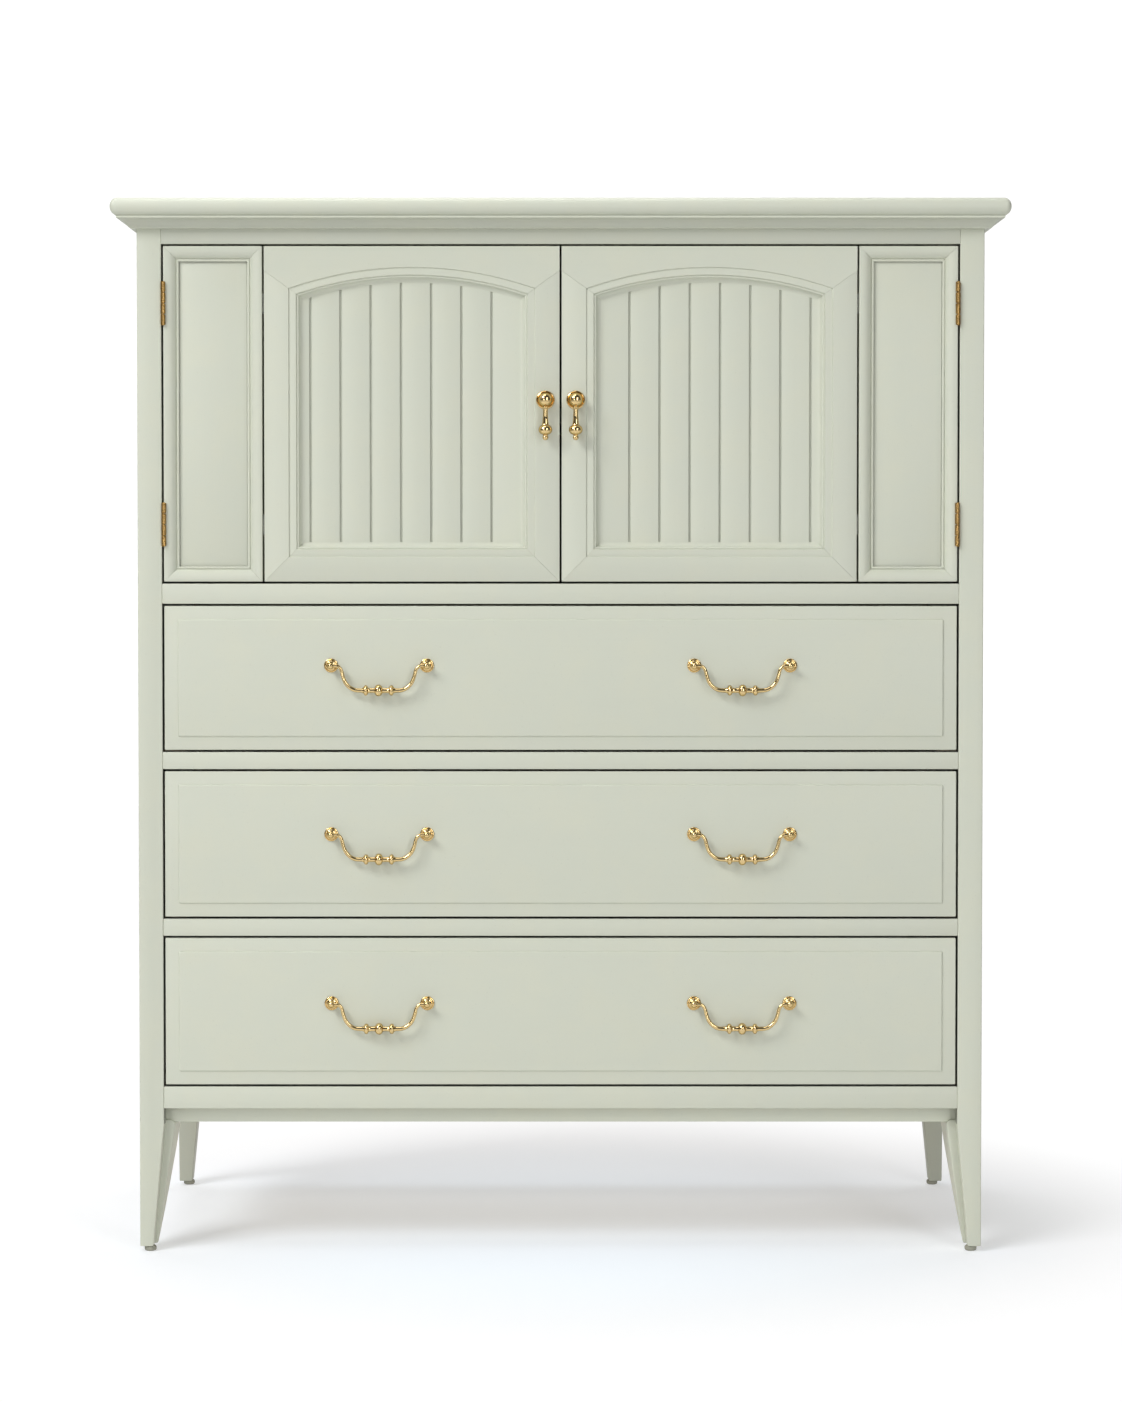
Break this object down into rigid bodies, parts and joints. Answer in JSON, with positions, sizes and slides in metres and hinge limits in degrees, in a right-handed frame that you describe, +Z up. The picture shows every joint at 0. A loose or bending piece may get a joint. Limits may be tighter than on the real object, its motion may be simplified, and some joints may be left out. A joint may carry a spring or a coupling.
{
  "type": "armoire",
  "caption": "Painted armoire: cornice, cupboard with two bi-fold doors of arched beadboard leaves and narrow side leaves, shelf, full-width drawers on runners, brass bail pulls, tapered legs.",
  "frame": {"origin": "centre of the overall footprint (top slab's outline), at floor level", "axes": "+Z up; the front with the doors and drawers faces -Y; +X is to the right of someone facing the front"},
  "size_m": [1.066, 0.486, 1.257],
  "materials": {
    "painted_wood": "satin pale sage-cream paint, lightly worn",
    "bare_wood": "clear-sealed pale hardwood",
    "plywood": "sanded plywood",
    "polished_brass": "polished",
    "antique_brass": "antique, aged brown",
    "plated_steel": "zinc plated",
    "dark_glides": "matte dark plastic"
  },
  "bodies": {
    "case": {"aprons": "painted_wood", "back_panel": "plywood", "bottom_board": "bare_wood", "bottom_rail": "painted_wood", "case_hinge_halves": "antique_brass", "compartment_floor": "painted_wood", "cornice_moulding": "painted_wood", "door_catches": "plated_steel", "drawer_rails": "painted_wood", "drawer_runners": "bare_wood", "dust_panels": "plywood", "front_legs": "painted_wood", "front_posts": "painted_wood", "glides": "dark_glides", "hinge_pins": "antique_brass", "middle_rail": "painted_wood", "rear_legs": "painted_wood", "shelf": "painted_wood", "shelf_pins": "plated_steel", "side_panels": "painted_wood", "top_rail": "painted_wood", "top_slab": "painted_wood"},
    "left_side_leaf": {"left_side_leaf_frame": "painted_wood", "left_side_leaf_panel": "painted_wood", "left_door_hinge_halves": "antique_brass"},
    "left_arched_leaf": {"left_arched_leaf_stiles": "painted_wood", "left_arched_leaf_top_rail": "painted_wood", "left_arched_leaf_bottom_rail": "painted_wood", "left_beadboard": "painted_wood", "left_drop_pull_rosette": "polished_brass"},
    "left_fold_links": {"left_fold_links": "plated_steel"},
    "left_drop_pull": {"left_drop_pull": "polished_brass"},
    "right_side_leaf": {"right_side_leaf_frame": "painted_wood", "right_side_leaf_panel": "painted_wood", "right_door_hinge_halves": "antique_brass"},
    "right_arched_leaf": {"right_arched_leaf_stiles": "painted_wood", "right_arched_leaf_top_rail": "painted_wood", "right_arched_leaf_bottom_rail": "painted_wood", "right_beadboard": "painted_wood", "right_drop_pull_rosette": "polished_brass"},
    "right_fold_links": {"right_fold_links": "plated_steel"},
    "right_drop_pull": {"right_drop_pull": "polished_brass"},
    "drawer_1": {"drawer_1_front": "painted_wood", "drawer_1_box": "bare_wood", "drawer_1_bottom": "plywood", "drawer_1_pull_posts": "polished_brass"},
    "drawer_1_left_bail": {"drawer_1_left_bail": "polished_brass"},
    "drawer_1_right_bail": {"drawer_1_right_bail": "polished_brass"},
    "drawer_2": {"drawer_2_front": "painted_wood", "drawer_2_box": "bare_wood", "drawer_2_bottom": "plywood", "drawer_2_pull_posts": "polished_brass"},
    "drawer_2_left_bail": {"drawer_2_left_bail": "polished_brass"},
    "drawer_2_right_bail": {"drawer_2_right_bail": "polished_brass"},
    "drawer_3": {"drawer_3_front": "painted_wood", "drawer_3_box": "bare_wood", "drawer_3_bottom": "plywood", "drawer_3_pull_posts": "polished_brass"},
    "drawer_3_left_bail": {"drawer_3_left_bail": "polished_brass"},
    "drawer_3_right_bail": {"drawer_3_right_bail": "polished_brass"}
  },
  "joints": [
    {"name": "left_door_hinge", "type": "hinge", "parent": "case", "child": "left_side_leaf", "pos_m": [-0.4724, -0.216, 1.0023], "axis": [0, 0, -1], "range_deg": [0, 110]},
    {"name": "left_door_fold", "type": "hinge", "parent": "left_side_leaf", "child": "left_arched_leaf", "pos_m": [-0.354, -0.214, 1.0023], "axis": [0, 0, -1], "range_deg": [0, 85]},
    {"name": "left_fold_link_turn", "type": "hinge", "parent": "left_side_leaf", "child": "left_fold_links", "pos_m": [-0.354, -0.214, 1.0023], "axis": [0, 0, -1], "range_deg": [0, 42.5]},
    {"name": "left_drop_pull_swing", "type": "hinge", "parent": "left_arched_leaf", "child": "left_drop_pull", "pos_m": [-0.018, -0.226, 1.019], "axis": [-1, 0, 0], "range_deg": [-3, 40]},
    {"name": "right_door_hinge", "type": "hinge", "parent": "case", "child": "right_side_leaf", "pos_m": [0.4724, -0.216, 1.0023], "axis": [0, 0, 1], "range_deg": [0, 110]},
    {"name": "right_door_fold", "type": "hinge", "parent": "right_side_leaf", "child": "right_arched_leaf", "pos_m": [0.354, -0.214, 1.0023], "axis": [0, 0, 1], "range_deg": [0, 85]},
    {"name": "right_fold_link_turn", "type": "hinge", "parent": "right_side_leaf", "child": "right_fold_links", "pos_m": [0.354, -0.214, 1.0023], "axis": [0, 0, 1], "range_deg": [0, 42.5]},
    {"name": "right_drop_pull_swing", "type": "hinge", "parent": "right_arched_leaf", "child": "right_drop_pull", "pos_m": [0.018, -0.226, 1.019], "axis": [-1, 0, 0], "range_deg": [-3, 40]},
    {"name": "drawer_1_slide", "type": "slide", "parent": "case", "child": "drawer_1", "axis": [0, -1, 0], "range_m": [0, 0.3]},
    {"name": "drawer_1_left_bail_swing", "type": "hinge", "parent": "drawer_1", "child": "drawer_1_left_bail", "pos_m": [-0.2165, -0.2265, 0.7029], "axis": [-1, 0, 0], "range_deg": [-6, 95]},
    {"name": "drawer_1_right_bail_swing", "type": "hinge", "parent": "drawer_1", "child": "drawer_1_right_bail", "pos_m": [0.2165, -0.2265, 0.7029], "axis": [-1, 0, 0], "range_deg": [-6, 95]},
    {"name": "drawer_2_slide", "type": "slide", "parent": "case", "child": "drawer_2", "axis": [0, -1, 0], "range_m": [0, 0.3]},
    {"name": "drawer_2_left_bail_swing", "type": "hinge", "parent": "drawer_2", "child": "drawer_2_left_bail", "pos_m": [-0.2165, -0.2265, 0.5014], "axis": [-1, 0, 0], "range_deg": [-6, 95]},
    {"name": "drawer_2_right_bail_swing", "type": "hinge", "parent": "drawer_2", "child": "drawer_2_right_bail", "pos_m": [0.2165, -0.2265, 0.5014], "axis": [-1, 0, 0], "range_deg": [-6, 95]},
    {"name": "drawer_3_slide", "type": "slide", "parent": "case", "child": "drawer_3", "axis": [0, -1, 0], "range_m": [0, 0.3]},
    {"name": "drawer_3_left_bail_swing", "type": "hinge", "parent": "drawer_3", "child": "drawer_3_left_bail", "pos_m": [-0.2165, -0.2265, 0.2989], "axis": [-1, 0, 0], "range_deg": [-6, 95]},
    {"name": "drawer_3_right_bail_swing", "type": "hinge", "parent": "drawer_3", "child": "drawer_3_right_bail", "pos_m": [0.2165, -0.2265, 0.2989], "axis": [-1, 0, 0], "range_deg": [-6, 95]}
  ],
  "couplings": [
    {"joint": "left_fold_link_turn", "follows": "left_door_fold", "ratio": 0.5},
    {"joint": "right_fold_link_turn", "follows": "right_door_fold", "ratio": 0.5}
  ]
}
